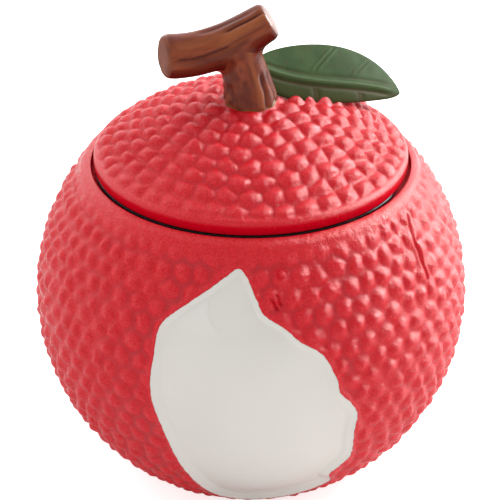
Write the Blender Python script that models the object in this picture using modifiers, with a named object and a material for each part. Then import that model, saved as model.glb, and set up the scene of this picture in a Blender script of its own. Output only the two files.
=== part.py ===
"""Lychee-shaped ceramic tea jar with a lift-off lid. Metres, +Z up, standing on the origin."""

import math
import random

import bmesh
import bpy
from mathutils import Vector

# Jar
BODY_RADIUS = 0.055
FOOT_RADIUS = 0.0285
FOOT_RING_WIDTH = 0.0042
FOOT_RECESS = 0.0012
WALL = 0.0045
FLOOR = 0.005

# Mouth, lid and seal
LID_RADIUS = 0.03905
LID_BAND = 0.0019
LID_EDGE = 0.0006
LID_EDGE_RISE = 0.0013
LID_GAP = 0.0007
LIP_DROP = 0.0001
LIP_WIDTH = 0.0006
LIP_SLOPE = math.radians(20)
RECESS_DEPTH = 0.00185
NECK_INSET = 0.00445
NECK_WALL = 0.0035
NECK_LENGTH = 0.0093
BORE_LENGTH = 0.0059
COLLAR_SLOPE = math.radians(20)
SEAL_WALL = 0.0013
SEAL_FIN = 0.0005
SEAL_SKIRT = 0.0064
CLEARANCE = 0.0003
ROUND_STEPS = 48
CRISP_ANGLE = math.radians(50)

# Pebbled skin
BUMP_ROWS = 36
BODY_ROWS = (10, 22)
BODY_COUNT = 62
BUMP_PITCH = 0.0055
BUMP_HEIGHT = 0.0010
BUMP_FADE = 0.0070
BUMP_JITTER = 0.09
BUMP_SEED = 11

# Peeled patch on the front: corners as (degrees to the right, degrees up) seen from the centre
RIND_DEPTH = 0.0014
PATCH_CORNERS = (
    (-3.7, 34.9), (-1.2, 33.1), (1.6, 27.5), (3.5, 23.9), (9.2, 19.9), (12.4, 16.7), (18.2, 12.4),
    (21.7, 4.9), (22.6, 0.9), (25.3, -2.4), (27.8, -7.0), (27.7, -13.3), (28.7, -24.2),
    (24.5, -31.3), (26.5, -38.5), (16.0, -46.0), (2.0, -49.5), (-8.0, -47.5), (-14.0, -41.0),
    (-19.2, -26.9), (-22.2, -13.2), (-25.5, 0.0), (-24.8, 11.5), (-23.8, 19.0), (-18.2, 24.6),
    (-7.0, 33.0),
)

# Branch handle: knots as (x, y, height above its seat) with the limb's radius there
BRANCH_Y = -0.0025
LEG_BASE_RADIUS = 0.0062
LEG_RADIUS = 0.0051
ARM_LEFT_RADIUS = 0.0055
ARM_RIGHT_RADIUS = 0.0047
ARM_LEFT_END = (-0.0221, -0.0024, 0.0126)
ARM_BEND = (-0.0100, 0.0, 0.0131)
ARM_RISE = (-0.0030, 0.0, 0.0165)
ARM_RIGHT_END = (0.0049, -0.0010, 0.0219)
FLUTES = 6
FLUTE_DEPTH = 0.07
FLUTE_STEPS = 3
LIMB_STEPS = 4

# Leaf: its midrib runs down to the right and back; fullness is (at the stalk, at the tip) of each half,
# and each half rises toward the back by its own tilt
LEAF_LENGTH = 0.0363
LEAF_START = (0.0015, 0.0030)
LEAF_BACK_WIDTH = 0.0100
LEAF_FRONT_WIDTH = 0.0053
LEAF_BACK_FULLNESS = (0.68, 0.85)
LEAF_FRONT_FULLNESS = (0.35, 0.55)
LEAF_STALK = 0.0018
LEAF_SWING = 0.0180
LEAF_BOW = -0.0090
LEAF_BASE_RISE = 0.0064
LEAF_FALL = 0.0159
LEAF_WAVE = 0.0160
LEAF_WAVE_MIDDLE = 0.42
LEAF_THICKNESS = 0.0024
LEAF_BACK_TILT = math.radians(39)
LEAF_FRONT_TILT = math.radians(43)
RIB_HEIGHT = 0.0006
RIB_WIDTH = 0.0011
LEAF_STEPS = (18, 12)

CENTRE = math.sqrt(BODY_RADIUS ** 2 - FOOT_RADIUS ** 2)
PEAK_RADIUS = BODY_RADIUS + BUMP_HEIGHT / 2
OUTSIDE = BODY_RADIUS * 1.3
INNER_RADIUS = BODY_RADIUS - WALL

LID_BOTTOM = CENTRE + math.sqrt(BODY_RADIUS ** 2 - LID_RADIUS ** 2) - LID_BAND
MOUTH_RADIUS = LID_RADIUS + LID_GAP
LIP_RADIUS = MOUTH_RADIUS + LIP_WIDTH
LIP_TOP = LID_BOTTOM - LIP_DROP
LEDGE = LIP_TOP - RECESS_DEPTH
NECK_RADIUS = LID_RADIUS - NECK_INSET
SKIRT_RADIUS = NECK_RADIUS + CLEARANCE + SEAL_WALL
BORE_RADIUS = SKIRT_RADIUS + SEAL_FIN + CLEARANCE
SEAT = CENTRE + math.sqrt(BODY_RADIUS ** 2 - (abs(BRANCH_Y) + LEG_BASE_RADIUS) ** 2) - BUMP_HEIGHT / 2


def clear_scene():
    for obj in list(bpy.data.objects):
        bpy.data.objects.remove(obj)


def collection(name):
    group = bpy.data.collections.new(name)
    bpy.context.scene.collection.children.link(group)
    return group


def glaze(name, colour, roughness):
    material = bpy.data.materials.new(name)
    material.use_nodes = True
    shader = material.node_tree.nodes["Principled BSDF"]
    shader.inputs["Base Color"].default_value = (*colour, 1)
    shader.inputs["Roughness"].default_value = roughness
    return material


def place(name, mesh, group):
    obj = bpy.data.objects.new(name, mesh)
    group.objects.link(obj)
    if group is helpers:
        obj.hide_render = True
        obj.display_type = "WIRE"
    return obj


def mesh_of(name, bm):
    mesh = bpy.data.meshes.new(name)
    bm.to_mesh(mesh)
    bm.free()
    return mesh


def evaluated(obj):
    graph = bpy.context.evaluated_depsgraph_get()
    return bpy.data.meshes.new_from_object(obj.evaluated_get(graph))


def finish(obj, material):
    """Takes the cuts and joins into the mesh, shades it smooth with crisp edges and gives it its finish."""
    obj.data = evaluated(obj)
    obj.modifiers.clear()
    obj.data.shade_smooth()
    obj.data.set_sharp_from_angle(angle=CRISP_ANGLE)
    obj.data.materials.clear()
    obj.data.materials.append(material)
    return obj


def combine(obj, operation, other, folded=False):
    """Joins or cuts obj by another solid; folded is for a shape whose own faces cross somewhere."""
    step = obj.modifiers.new(other.name, "BOOLEAN")
    step.operation = operation
    step.solver = "EXACT"
    step.use_self = folded
    step.object = other


def turned(name, profile, group, closed=False):
    """A profile of (radius, height) points, outer side running down, turned about the vertical axis."""
    points = [(radius, 0.0, height) for radius, height in profile]
    edges = [(i, i + 1) for i in range(len(points) - 1)]
    if closed:
        edges.append((len(points) - 1, 0))
    mesh = bpy.data.meshes.new(name)
    mesh.from_pydata(points, edges, [])
    obj = place(name, mesh, group)
    turn = obj.modifiers.new("turn", "SCREW")
    turn.steps = ROUND_STEPS
    turn.render_steps = ROUND_STEPS
    turn.use_merge_vertices = True
    turn.merge_threshold = 0.00001
    return obj


def arc(radius, start_radius, end_radius, steps, below=False):
    """Points on a ball round the centre, from one distance off the axis to another."""
    turn = [math.asin(start_radius / radius), math.asin(end_radius / radius)]
    if below:
        turn[0] = math.pi - turn[0]
    angles = [turn[0] + (turn[1] - turn[0]) * i / steps for i in range(steps + 1)]
    return [(radius * math.sin(a), CENTRE + radius * math.cos(a)) for a in angles]


def smooth_ball(name, radius):
    bm = bmesh.new()
    bmesh.ops.create_uvsphere(bm, u_segments=64, v_segments=32, radius=radius)
    bmesh.ops.translate(bm, vec=(0, 0, CENTRE), verts=bm.verts)
    return place(name, mesh_of(name, bm), helpers)


def block(name, low, high):
    bm = bmesh.new()
    bmesh.ops.create_cube(bm, size=1)
    for vert in bm.verts:
        vert.co = [low[i] if vert.co[i] < 0 else high[i] for i in range(3)]
    return place(name, mesh_of(name, bm), helpers)


def bump_share(direction):
    """How much of the bump height stands here: none along the mouth and foot, all of it further off."""
    polar = math.acos(max(-1.0, min(1.0, direction.z)))
    lid_edge = math.asin(LID_RADIUS / BODY_RADIUS)
    lip = math.asin(LIP_RADIUS / BODY_RADIUS)
    foot = math.pi - math.asin(FOOT_RADIUS / BODY_RADIUS)
    off_mouth = max(lid_edge - polar, polar - lip)
    off = BODY_RADIUS * min(off_mouth, foot - polar) / BUMP_FADE
    off = max(0.0, min(1.0, off))
    return off * off * (3 - 2 * off)


def bump_directions():
    """Bump centres on the unit ball: rows half a step apart, each bump nudged a little at random."""
    nudge = BUMP_JITTER * BUMP_PITCH / BODY_RADIUS
    chance = random.Random(BUMP_SEED)
    directions = []
    for row in range(BUMP_ROWS):
        polar = math.pi * (row + 0.5) / BUMP_ROWS
        ring = math.sin(polar)
        count = round(2 * math.pi * BODY_RADIUS * ring / BUMP_PITCH)
        if BODY_ROWS[0] <= row <= BODY_ROWS[1]:
            count = BODY_COUNT
        for k in range(count):
            azimuth = 2 * math.pi * (k + row % 2 / 2) / count
            spot = Vector((ring * math.sin(azimuth), -ring * math.cos(azimuth), math.cos(polar)))
            step = Vector([chance.uniform(-nudge, nudge) for _ in range(3)])
            directions.append((spot + step).normalized())
    return directions


def pebbled_ball(name, group):
    """The ball with a low rounded peak at each bump centre and a valley between every three of them."""
    bm = bmesh.new()
    for direction in bump_directions():
        bm.verts.new(direction)
    bmesh.ops.convex_hull(bm, input=bm.verts)
    peaks = set(bm.verts)
    ridges = list(bm.edges)
    bmesh.ops.poke(bm, faces=bm.faces)
    bmesh.ops.rotate_edges(bm, edges=ridges)
    for vert in bm.verts:
        direction = vert.co.normalized()
        side = 0.5 if vert in peaks else -0.5
        radius = BODY_RADIUS + side * BUMP_HEIGHT * bump_share(direction)
        vert.co = direction * radius + Vector((0, 0, CENTRE))
    bmesh.ops.recalc_face_normals(bm, faces=bm.faces)
    return place(name, mesh_of(name, bm), group)


def peel_cutter():
    """A cone from near the ball's centre through the patch outline, down to the flesh under the rind."""
    bm = bmesh.new()
    outline = []
    for right, up in PATCH_CORNERS:
        across = math.tan(math.radians(right))
        rise = math.tan(math.radians(up)) / math.cos(math.radians(right))
        outline.append(bm.verts.new((across, -1, rise)))
    face = bm.faces.new(outline)
    for vert in outline:
        vert.co = vert.co * 0.3 * BODY_RADIUS + Vector((0, 0, CENTRE))
    grown = bmesh.ops.extrude_face_region(bm, geom=[face])["geom"]
    for vert in grown:
        if isinstance(vert, bmesh.types.BMVert):
            vert.co = (vert.co - Vector((0, 0, CENTRE))) * (1.3 / 0.3) + Vector((0, 0, CENTRE))
    bmesh.ops.recalc_face_normals(bm, faces=bm.faces)
    cutter = place("peel_cutter", mesh_of("peel_cutter", bm), helpers)
    combine(cutter, "DIFFERENCE", smooth_ball("flesh", BODY_RADIUS - RIND_DEPTH))
    return cutter


def jar_body():
    bore_end = LEDGE - BORE_LENGTH
    along = BORE_RADIUS * math.cos(COLLAR_SLOPE) - (bore_end - CENTRE) * math.sin(COLLAR_SLOPE)
    reach = INNER_RADIUS ** 2 - BORE_RADIUS ** 2 - (bore_end - CENTRE) ** 2
    collar_root = BORE_RADIUS + (math.sqrt(along ** 2 + reach) - along) * math.cos(COLLAR_SLOPE)
    floor_radius = math.sqrt(INNER_RADIUS ** 2 - (CENTRE - FLOOR) ** 2)
    lip_end = LIP_TOP - (OUTSIDE - LIP_RADIUS) * math.tan(LIP_SLOPE)
    ring_inside = FOOT_RADIUS - FOOT_RING_WIDTH
    profile = [(0, FLOOR)] + arc(INNER_RADIUS, floor_radius, collar_root, 8, below=True)
    profile += [(BORE_RADIUS, bore_end), (BORE_RADIUS, LEDGE), (MOUTH_RADIUS, LEDGE)]
    profile += [(MOUTH_RADIUS, LIP_TOP), (LIP_RADIUS, LIP_TOP), (OUTSIDE, lip_end), (OUTSIDE, 0)]
    profile += [(ring_inside, 0), (ring_inside - FOOT_RECESS, FOOT_RECESS), (0, FOOT_RECESS)]
    body = pebbled_ball("jar_body", parts)
    combine(body, "INTERSECT", turned("jar_form", profile, helpers))
    combine(body, "DIFFERENCE", peel_cutter())
    return body


def lid():
    neck_inside = NECK_RADIUS - NECK_WALL
    neck_end = LID_BOTTOM - NECK_LENGTH
    top = CENTRE + OUTSIDE
    profile = [(0, top), (LID_RADIUS, top), (LID_RADIUS, LID_BOTTOM + LID_EDGE_RISE)]
    profile += [(LID_RADIUS - LID_EDGE, LID_BOTTOM), (NECK_RADIUS, LID_BOTTOM)]
    profile += [(NECK_RADIUS, neck_end), (neck_inside, neck_end)]
    profile += arc(INNER_RADIUS, neck_inside, 0, 4)
    cover = pebbled_ball("lid", parts)
    combine(cover, "INTERSECT", turned("lid_form", profile, helpers))
    bm = bmesh.new()
    reach = LEG_BASE_RADIUS * (1 + FLUTE_DEPTH) + CLEARANCE
    bmesh.ops.create_cone(bm, segments=24, radius1=reach, radius2=reach, depth=WALL, cap_ends=True)
    bmesh.ops.translate(bm, vec=(0, BRANCH_Y, SEAT + WALL / 2), verts=bm.verts)
    combine(cover, "DIFFERENCE", place("seat_cutter", mesh_of("seat_cutter", bm), helpers))
    return cover


def seal_ring():
    """Silicone ring under the lid's edge: a flat flange, and a skirt round the neck with two fins."""
    inside = NECK_RADIUS + CLEARANCE
    flange = LID_RADIUS - LID_EDGE
    top = LID_BOTTOM - CLEARANCE
    under = LEDGE + CLEARANCE
    end = LEDGE - SEAL_SKIRT
    fin = SKIRT_RADIUS + SEAL_FIN
    profile = [(inside, top), (flange, top), (flange, under), (SKIRT_RADIUS, under)]
    for share in (0.22, 0.62):
        height = LEDGE - SEAL_SKIRT * share
        profile += [(SKIRT_RADIUS, height), (fin, height - SEAL_FIN), (SKIRT_RADIUS, height - 2 * SEAL_FIN)]
    profile += [(SKIRT_RADIUS, end), (inside, end)]
    return turned("seal_ring", profile, parts, closed=True)


def bark_profile():
    """Cross-section of a limb of radius 1: a circle with shallow flutes."""
    curve = bpy.data.curves.new("bark_profile", "CURVE")
    ring = curve.splines.new("POLY")
    steps = FLUTES * FLUTE_STEPS
    ring.points.add(steps - 1)
    ring.use_cyclic_u = True
    for i, point in enumerate(ring.points):
        angle = 2 * math.pi * i / steps
        radius = 1 + FLUTE_DEPTH * math.cos(FLUTES * angle)
        point.co = (radius * math.cos(angle), radius * math.sin(angle), 0, 1)
    return place("bark_profile", curve, helpers)


def limb(name, knots, bark, group):
    """A fluted limb along a smooth curve through knots of (place above the seat, radius)."""
    curve = bpy.data.curves.new(name + "_path", "CURVE")
    curve.dimensions = "3D"
    curve.resolution_u = LIMB_STEPS
    curve.bevel_mode = "OBJECT"
    curve.bevel_object = bark
    curve.use_fill_caps = True
    path = curve.splines.new("BEZIER")
    path.bezier_points.add(len(knots) - 1)
    for knot, (spot, radius) in zip(path.bezier_points, knots):
        knot.co = Vector(spot) + Vector((0, BRANCH_Y, SEAT))
        knot.radius = radius
        knot.handle_left_type = "AUTO"
        knot.handle_right_type = "AUTO"
    guide = place(name + "_path", curve, helpers)
    bm = bmesh.new()
    bm.from_mesh(evaluated(guide))
    bpy.data.objects.remove(guide)
    bmesh.ops.remove_doubles(bm, verts=bm.verts, dist=0.00001)
    bmesh.ops.recalc_face_normals(bm, faces=bm.faces)
    return place(name, mesh_of(name, bm), group)


def leg_knots(spare):
    """The leg runs from below its seat up into the arm."""
    return (
        ((0.0002, 0, -0.0030), LEG_BASE_RADIUS + spare),
        ((0.0000, 0, 0.0006), LEG_BASE_RADIUS + spare),
        ((-0.0005, 0, 0.0048), LEG_RADIUS + spare),
        ((-0.0022, 0, ARM_RISE[2]), LEG_RADIUS * 0.85 + spare),
    )


def branch_handle(bark):
    arm_knots = (
        (ARM_LEFT_END, ARM_LEFT_RADIUS),
        (ARM_BEND, ARM_LEFT_RADIUS),
        (ARM_RISE, (ARM_LEFT_RADIUS + ARM_RIGHT_RADIUS) / 2),
        (ARM_RIGHT_END, ARM_RIGHT_RADIUS),
    )
    branch = limb("branch_handle", arm_knots, bark, parts)
    combine(branch, "UNION", limb("leg", leg_knots(0), bark, helpers))
    foot = SEAT + CLEARANCE
    combine(branch, "DIFFERENCE", block("under_leg", (-0.02, -0.02, foot - 0.01), (0.02, 0.02, foot)))
    return branch


def leaf_fullness(along, ends):
    """The outline of one half of the leaf, 1 where it is widest and 0 at both ends."""
    stalk, tip = ends
    widest = stalk / (stalk + tip)
    return (along / widest) ** stalk * ((1 - along) / (1 - widest)) ** tip


def leaf_spot(along, across):
    """A place on the leaf's upper side: along is 0 at the stalk, across -1 in front and 1 at the back."""
    start_x, start_y = LEAF_START
    arch = along * (1 - along)
    x = start_x + LEAF_LENGTH * along
    y = start_y + BRANCH_Y + LEAF_SWING * along + LEAF_BOW * arch
    z = CENTRE + PEAK_RADIUS + LEAF_BASE_RISE - LEAF_FALL * along
    z += LEAF_WAVE * arch * (along - LEAF_WAVE_MIDDLE)
    if across > 0:
        half, ends, tilt = LEAF_BACK_WIDTH, LEAF_BACK_FULLNESS, LEAF_BACK_TILT
    else:
        half, ends, tilt = LEAF_FRONT_WIDTH, LEAF_FRONT_FULLNESS, LEAF_FRONT_TILT
    off = across * (half * leaf_fullness(along, ends) + LEAF_STALK * (1 - along) ** 3)
    rib = RIB_HEIGHT * (1 - along) * math.exp(-((off / RIB_WIDTH) ** 2))
    return Vector((x, y + off * math.cos(tilt), z + off * math.sin(tilt) + rib))


def leaf(bark):
    long_steps, cross_steps = LEAF_STEPS
    bm = bmesh.new()
    bmesh.ops.create_grid(bm, x_segments=long_steps, y_segments=cross_steps, size=1)
    for vert in bm.verts:
        across = math.copysign(abs(vert.co.y) ** 1.5, vert.co.y)
        vert.co = leaf_spot((vert.co.x + 1) / 2, across)
    bmesh.ops.remove_doubles(bm, verts=bm.verts, dist=0.00002)
    bmesh.ops.recalc_face_normals(bm, faces=bm.faces)
    blade = place("leaf", mesh_of("leaf", bm), parts)
    thicken = blade.modifiers.new("thicken", "SOLIDIFY")
    thicken.thickness = LEAF_THICKNESS
    thicken.offset = -1
    combine(blade, "DIFFERENCE", smooth_ball("lid_room", PEAK_RADIUS + CLEARANCE))
    combine(blade, "DIFFERENCE", limb("leg_room", leg_knots(CLEARANCE), bark, helpers), folded=True)
    return blade


clear_scene()
parts = collection("tea_jar")
helpers = collection("construction")
bark = bark_profile()
finish(jar_body(), glaze("red_glaze", (0.62, 0.055, 0.062), 0.42))
finish(seal_ring(), glaze("black_silicone", (0.012, 0.012, 0.013), 0.3))
lid_axis = place("lid_axis", None, parts)
finish(lid(), glaze("lid_red_glaze", (0.62, 0.055, 0.062), 0.42)).parent = lid_axis
finish(branch_handle(bark), glaze("bark_glaze", (0.17, 0.045, 0.027), 0.3)).parent = lid_axis
finish(leaf(bark), glaze("leaf_glaze", (0.09, 0.15, 0.065), 0.4)).parent = lid_axis
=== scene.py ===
"""Looks of the lychee-shaped tea jar: pebbled red rind, peeled white patch, twig, leaf and seal.

Lengths are in metres. The jar stands on z = 0, and its front faces -Y."""

import math
import random

import bmesh
import bpy
import numpy as np
from mathutils import Euler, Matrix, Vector, noise
from mathutils.kdtree import KDTree


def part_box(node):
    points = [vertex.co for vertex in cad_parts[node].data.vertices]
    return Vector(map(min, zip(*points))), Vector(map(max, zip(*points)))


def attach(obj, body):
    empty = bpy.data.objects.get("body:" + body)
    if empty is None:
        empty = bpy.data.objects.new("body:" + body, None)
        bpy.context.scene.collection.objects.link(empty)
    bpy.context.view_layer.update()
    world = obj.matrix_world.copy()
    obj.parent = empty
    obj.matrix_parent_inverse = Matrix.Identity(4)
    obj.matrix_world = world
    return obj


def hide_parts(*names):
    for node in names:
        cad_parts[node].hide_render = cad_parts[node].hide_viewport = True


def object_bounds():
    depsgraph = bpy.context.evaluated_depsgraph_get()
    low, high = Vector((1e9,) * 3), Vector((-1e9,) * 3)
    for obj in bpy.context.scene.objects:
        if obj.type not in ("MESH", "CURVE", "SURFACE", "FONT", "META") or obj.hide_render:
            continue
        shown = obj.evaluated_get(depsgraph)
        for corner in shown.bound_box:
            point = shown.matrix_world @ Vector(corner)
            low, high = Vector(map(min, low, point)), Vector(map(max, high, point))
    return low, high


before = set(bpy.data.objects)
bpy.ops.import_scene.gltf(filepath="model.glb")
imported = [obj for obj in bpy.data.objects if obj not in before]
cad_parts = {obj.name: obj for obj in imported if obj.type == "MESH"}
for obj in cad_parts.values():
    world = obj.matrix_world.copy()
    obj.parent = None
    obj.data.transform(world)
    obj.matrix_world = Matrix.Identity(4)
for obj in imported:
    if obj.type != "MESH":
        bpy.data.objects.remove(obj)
cad_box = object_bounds()
scene = bpy.context.scene

MM = 0.001

# Jar and lid, as in the CAD model
BODY_RADIUS = 0.055
FOOT_RADIUS = 0.0285
FOOT_RING_WIDTH = 0.0042
FOOT_RECESS = 0.0012
WALL = 0.0045
FLOOR = 0.005
LID_RADIUS = 0.03905
LID_SINK = 0.0019
MOUTH_RADIUS = 0.03975
LIP_FLAT_RADIUS = 0.0402
LIP_RADIUS = 0.0412
LEDGE_DEPTH = 0.00185
COLLAR_RADIUS = 0.0427
COLLAR_HEIGHT = 0.0059
BORE_RADIUS = 0.037
NECK_RADIUS = 0.0346
NECK_WALL = 0.0035
CENTRE = math.sqrt(BODY_RADIUS ** 2 - FOOT_RADIUS ** 2)
INNER_RADIUS = BODY_RADIUS - WALL
LID_BOTTOM = CENTRE + math.sqrt(BODY_RADIUS ** 2 - LID_RADIUS ** 2) - LID_SINK
LIP_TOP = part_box("jar_body")[1].z
LEDGE = LIP_TOP - LEDGE_DEPTH
NECK_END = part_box("lid")[0].z

# Two sizes of rounding, and the radius of the smallest ring round the axis
ROUND = 0.0003
WIDE_ROUND = 0.0004
HUB = 0.001

# Seal: a flange, tucked in on one side, and a skirt with two fins round the neck
SEAL_GAP = 0.0003
SEAL_SKIRT = 0.0013
SEAL_EDGE = 0.0002
FIN_PLACES = (0.22, 0.62)
FIN_REACH = 0.0005
SEAL_TUCK = 0.0016
SEAL_TUCK_SIDE = (105, 34)

# Pebbled skin: rows of bumps, then the bumps' shape, which deepens away from the lid's front
BUMP_ROWS = 36
EVEN_COUNT = 62
EVEN_ROWS = range(10, 23)
BUMP_PITCH = 0.0055
BUMP_JITTER = 0.15
BUMP_SEED = 11
LID_ROWS = 11
LID_ROW_STEP = math.radians(4.3)
LID_ROW_START = 0.58
LID_PITCH = 0.0056
LID_JITTER = 0.1
BUMP_TOP = 0.00042
BUMP_SIZES = (0.8, 1.0)
WARP_SCALE = 220
BODY_BUMP = {"height": 0.0012, "power": 1.8, "land": 0.11, "warp": 0.0006}
LID_BUMP = {"height": 0.00125, "power": 2.4, "land": 0.0, "warp": 0.00045}
LID_BUMP_GAIN = 0.4

# Where the jar's bumps fade: below the lip (left, right), at the foot, the patch and the seam
LIP_RIGHT = (110, 55)
LIP_FADE_START = (0.0022, 0.0008)
LIP_FADE_END = (0.0065, 0.003)
FOOT_FADE = 0.006
PATCH_FADE = (0.0002, 0.002)
PATCH_FADE_BELOW = 0.006
SEAM_BUMPS = 0.25

# Swelling of the jar's lip, which is lower on the right
LIP_SWELL = 0.00035
LIP_SWELL_AT = 0.0012
LIP_SWELL_WIDTH = 0.001
LIP_SWELL_LOSS = 0.8

# Where the lid's bumps fade: at its edge, round the leg and on its worn front left
LID_EDGE_FADE = 0.001
LEG_FADE = (0.0055, 0.0085)
WORN = 0.3
WORN_SIDE = (-36, 34)
WORN_REACH = (0.002, 0.008)

# Lid's rolled edge, a little proud above its upright band
EDGE_RISE = 0.0006
EDGE_RISE_REACH = 0.006
EDGE_ROUND = 0.0008
EDGE_DROP = 0.95 * EDGE_ROUND
EDGE_TUCK = 0.0001

# What the glazes read: a smooth skin's share of a bump, the least share where the land between
# bumps is hidden, and millimetres inside the white on what is all white or all red
PLAIN_BUMP = 0.5
LAND_HIDING = 0.25
ALL_WHITE = 10
ALL_RED = -20

# Flaws in the skin, as lines of (degrees right, degrees up) from the ball's centre
SEAM = ((59.1, 36.9), (57.5, 34.4), (56.4, 31.5), (56.2, 28.8), (55.9, 26.1), (55.9, 20.6))
SEAM_PIT = ((58.4, 30.4),) * 2
LEFT_SLIT = ((5.7, 27.6), (7.1, 24.9))
RIGHT_SLIT = ((7.2, 28.4), (8.2, 25.9))
PIMPLE = ((8.9, 33.5),) * 2
ROUGH_SPOT = ((45.0, 37.0),) * 2

# Marks of the flaws: (line, rise, share of painted shade that darkens it, how far to its right,
# width)
FLAWS = (
    (SEAM, -0.0006, 0.6, 0, 0.00045),
    (SEAM, 0.00022, 0, 0.0011, 0.0006),
    (SEAM_PIT, -0.0008, 0, 0, 0.0005),
    (LEFT_SLIT, -0.00085, 0.9, 0, 0.00032),
    (RIGHT_SLIT, -0.00085, 0.9, 0, 0.00032),
    (PIMPLE, 0.00085, 0, 0, 0.0006),
    (PIMPLE, -0.0003, 0.7, 0.0011, 0.0003),
)

# Lumps in the glaze as (height, noise scale), below the lip and round the rough spot
LIP_LUMPS = ((0.0001, 28), (0.00009, 75))
LIP_LUMPS_REACH = (0.005, 0.013)
ROUGH_LUMPS = ((0.00016, 48), (0.0001, 110))
ROUGH_REACH = (0.003, 0.008)

# Flake of flesh, a little higher on the left of a fold, where it is also painted lighter as a
# painted highlight
FOLD = ((-11.9, 27.4), (-11.7, 26.0), (-11.1, 22.8), (-9.2, 19.9), (-7.9, 18.5))
FLAKE_RISE = 0.0002
FLAKE_HEIGHT = ((16.5, 21.5), (26.0, 29.0))
FLAKE_WIDTH = ((-0.0001, 0.0004), (0.003, 0.011))

# Peeled patch: depth and bevel (high up, low down), and corners as in the flaws
RIND_DEPTH = (0.0008, 0.0014)
BEVEL_WIDTH = (0.0014, 0.0023)
BEVEL_ROUND = 0.1
PATCH_FACING = -0.35
PATCH_CORNERS = (
    (-3.7, 34.9), (-1.2, 33.1), (1.6, 27.5), (3.5, 23.9), (9.2, 19.9), (12.4, 16.7), (18.2, 12.4),
    (21.7, 4.9), (22.6, 0.9), (25.3, -2.4), (27.8, -7.0), (27.7, -13.3), (28.7, -24.2),
    (24.5, -31.3), (26.5, -38.5), (16.0, -46.0), (2.0, -49.5), (-8.0, -47.5), (-14.0, -41.0),
    (-19.2, -26.9), (-22.2, -13.2), (-25.5, 0.0), (-24.8, 11.5), (-23.8, 19.0), (-18.2, 24.6),
    (-7.0, 33.0),
)
PATCH_STEPS = 60

# Twig: knots as (place from its seat, radius), cut ends, and how its limbs join
SEAT_SINK = 0.0003
SEAT = Vector((0, -0.0025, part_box("branch_handle")[0].z - SEAT_SINK))
ARM_KNOTS = (
    ((-0.0211, -0.0022, 0.0127), 0.0056),
    ((-0.0135, -0.0008, 0.0129), 0.0055),
    ((-0.0048, 0.0, 0.0156), 0.0053),
    ((0.0049, -0.001, 0.0221), 0.0047),
)
LEG_KNOTS = (
    ((0.0, 0, -0.002), 0.0066),
    ((-0.0002, 0, 0.001), 0.0066),
    ((-0.0008, 0, 0.0048), 0.006),
    ((-0.0021, 0, 0.0105), 0.0053),
)
ARM_LEFT_FACE = np.array(Vector((-0.93, -0.36, 0.06)).normalized())
ARM_RIGHT_FACE = np.array(Vector((0.86, 0.06, 0.505)).normalized())
CUT_ROUND = 0.0024
LIMB_BLEND = 0.0022
TWIG_VOXEL = 0.00026

# Bark grooves: (start share, start angle, end share, end angle, depth, width). Angles are in
# degrees from the front, toward the top of the arm or the right of the leg
ARM_GROOVES = (
    (0.04, 13, 0.68, 15, 0.00045, 0.0005),
    (0.55, 15, 1.05, 10, 0.0003, 0.00055),
    (0.58, 52, 1.05, 50, 0.0005, 0.0005),
    (0.06, 48, 0.5, 50, 0.00016, 0.0009),
    (0.3, 78, 1.0, 74, 0.00028, 0.0008),
    (-0.05, -30, 1.05, -32, 0.00022, 0.0011),
    (-0.05, -66, 1.05, -62, 0.0003, 0.0009),
    (0.0, 112, 0.6, 118, 0.0004, 0.0008),
    (0.35, 140, 1.05, 136, 0.00045, 0.0008),
    (-0.05, 168, 1.05, 172, 0.00045, 0.0009),
    (0.1, 205, 0.8, 200, 0.00045, 0.0008),
    (-0.05, 240, 1.05, 246, 0.0004, 0.0009),
)
LEG_GROOVES = (
    (0.12, 38, 0.86, 44, 0.0004, 0.0007),
    (0.05, -8, 0.75, -4, 0.00016, 0.001),
    (0.05, -44, 0.75, -40, 0.0003, 0.001),
    (0.08, 76, 0.75, 72, 0.00034, 0.0008),
    *((0.05, start, 0.75, end, 0.0004, 0.0009)
      for start, end in ((-80, -76), (110, 110), (150, 150), (195, 195), (235, 240))),
)
GROOVE_WANDER = 1.2
GROOVE_WAVES = 17
GROOVE_START = (-0.02, 0.1)
GROOVE_END = (-0.12, 0.02)
GROOVE_FULL = 0.0005

# Lighter ridges, partly the bark's own tone and partly a painted highlight on the lit upper front
# of the arm and beside the leg's groove: (strength, share where it starts and is full, angle,
# width)
ARM_RIDGES = ((1.0, 0.4, 0.6, 36, 24), (0.55, 0.02, 0.12, 50, 14))
LEG_RIDGES = ((0.9, 0.05, 0.2, 29, 8),)

# Run of the grain along the bark, and a spot of slip at its foot
GRAIN_LENGTH = 1.2
SLIP_SPOT = (0.0053, -0.0029, 0.0006)

# Leaf, as in the CAD model: halves as (width, fullness at the base, at the tip), and veins as
# (share at the midrib, lean toward the tip)
LEAF_LENGTH = 0.0363
LEAF_START = (0.0015, 0.0005)
LEAF_BACK_HALF = (0.0104, 0.7, 0.68)
LEAF_FRONT_HALF = (0.0053, 0.35, 0.55)
LEAF_STALK = 0.0012
LEAF_SWING = 0.018
LEAF_BOW = -0.009
LEAF_BASE_RISE = 0.0064
LEAF_FALL = 0.0159
LEAF_WAVE = 0.016
LEAF_WAVE_MIDDLE = 0.42
LEAF_THICKNESS = 0.0018
LEAF_LIFT = 0.00025
LEAF_BACK_TILT = math.radians(39)
LEAF_FRONT_TILT = math.radians(43)
BACK_VEINS = ((0.33, 0.76), (0.605, 0.9))
FRONT_VEINS = ((0.385, -0.15), (0.7, -0.15))
LEAF_BASE_GAP = 0.0005
LEAF_CREASE = 0.3
LEAF_ENDS = (0.004, 0.9995)
LEAF_EDGE_POWER = 0.6
LEAF_THIN = 0.35
LEAF_THIN_FROM = 0.6
LEAF_TIP_BLUNT = 14

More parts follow.
